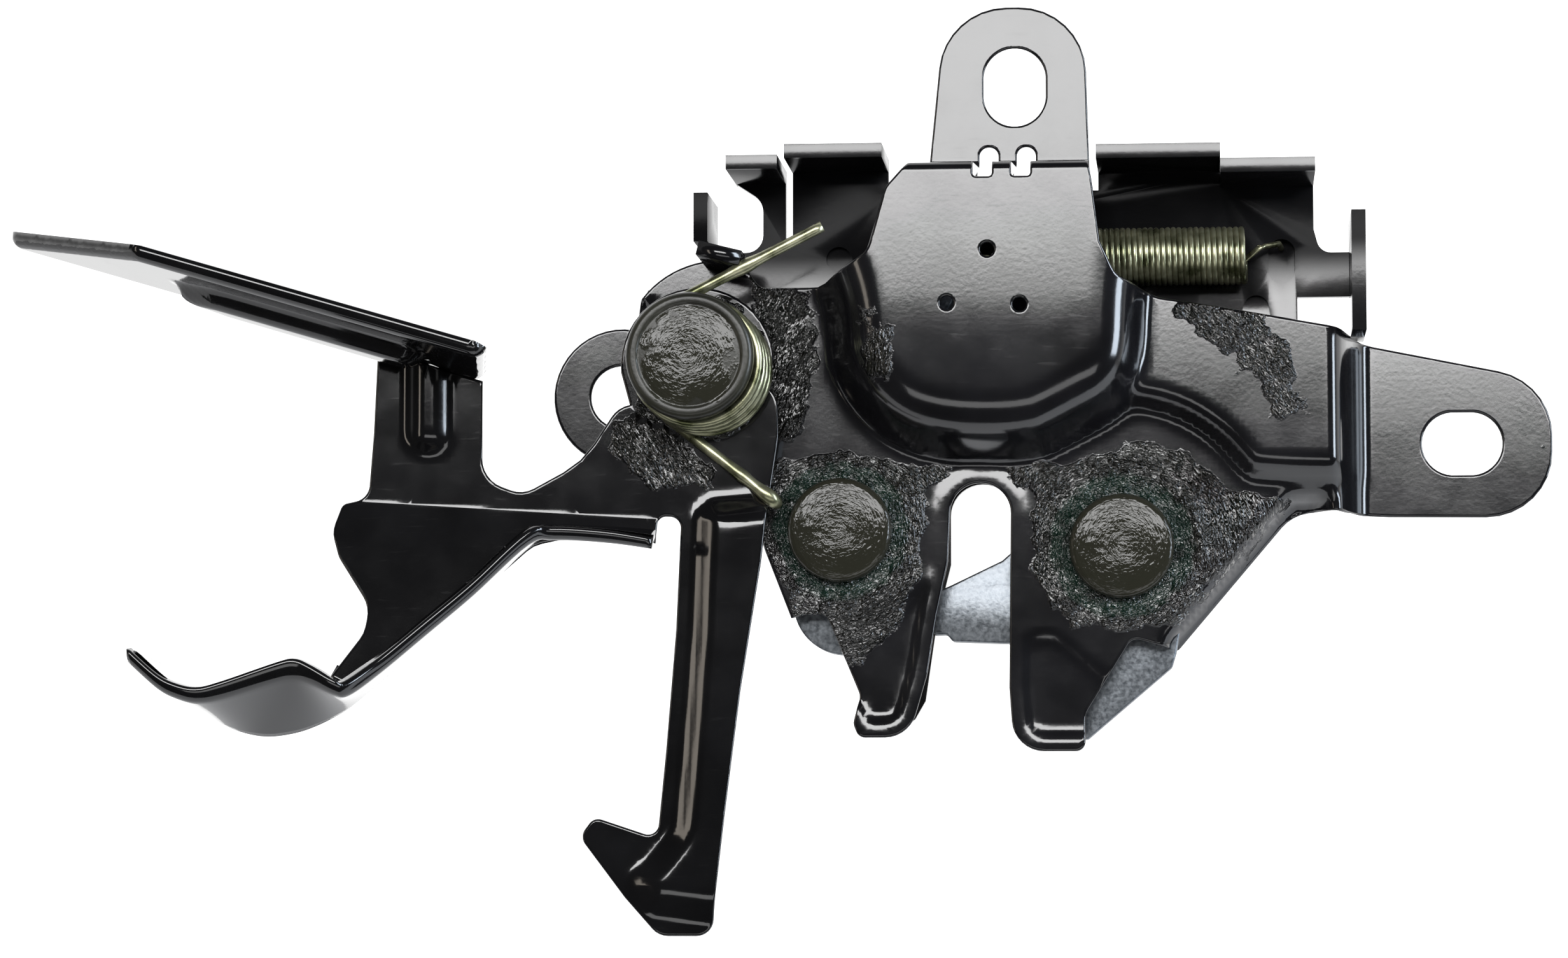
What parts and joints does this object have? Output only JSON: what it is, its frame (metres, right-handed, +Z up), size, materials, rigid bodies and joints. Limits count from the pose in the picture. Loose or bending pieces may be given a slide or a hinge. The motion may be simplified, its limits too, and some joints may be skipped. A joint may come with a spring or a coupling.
{
  "type": "bonnet latch",
  "caption": "Bonnet latch of two riveted pressed plates with a rotary claw, locking pawl and sprung safety lever with hook and finger strips.",
  "frame": {"origin": "mounting plane of the ears' rear faces, on the striker slot's centre line, at the latched striker's height", "axes": "+X to the right and +Z up as seen from the front, where the striker slot opens downwards; +Y points from the front to the mounting plane"},
  "size_m": [0.2188, 0.038, 0.1339],
  "materials": {
    "black_paint": "gloss black coating on pressed steel",
    "zinc": "zinc plate",
    "greased_steel": "dark greased steel",
    "spring_steel": "greased spring wire"
  },
  "bodies": {
    "housing": {"front_plate": "black_paint", "back_plate": "black_paint", "claw_rivet": "greased_steel", "pawl_rivet": "greased_steel", "lever_rivet": "greased_steel", "lever_spring": "spring_steel", "pawl_spring": "spring_steel", "claw_spring": "spring_steel", "claw_spring_post": "zinc"},
    "claw": {"claw": "zinc"},
    "pawl": {"pawl": "zinc"},
    "lever": {"safety_lever": "black_paint"}
  },
  "joints": [
    {"name": "claw_pivot", "type": "hinge", "parent": "housing", "child": "claw", "pos_m": [0.02, -0.0067, -0.004], "axis": [0, 1, 0], "range_deg": [0, 68], "stiffness_Nm_per_rad": 0.05, "deforming": ["claw_spring"]},
    {"name": "pawl_pivot", "type": "hinge", "parent": "housing", "child": "pawl", "pos_m": [-0.02, -0.0067, -0.0015], "axis": [0, -1, 0], "range_deg": [-7, 11], "stiffness_Nm_per_rad": 0.2, "deforming": ["pawl_spring"]},
    {"name": "lever_pivot", "type": "hinge", "parent": "housing", "child": "lever", "pos_m": [-0.04, -0.0156, 0.022], "axis": [0, -1, 0], "range_deg": [0, 25], "stiffness_Nm_per_rad": 0.5, "springref_deg": -17.19, "deforming": ["lever_spring"]}
  ]
}
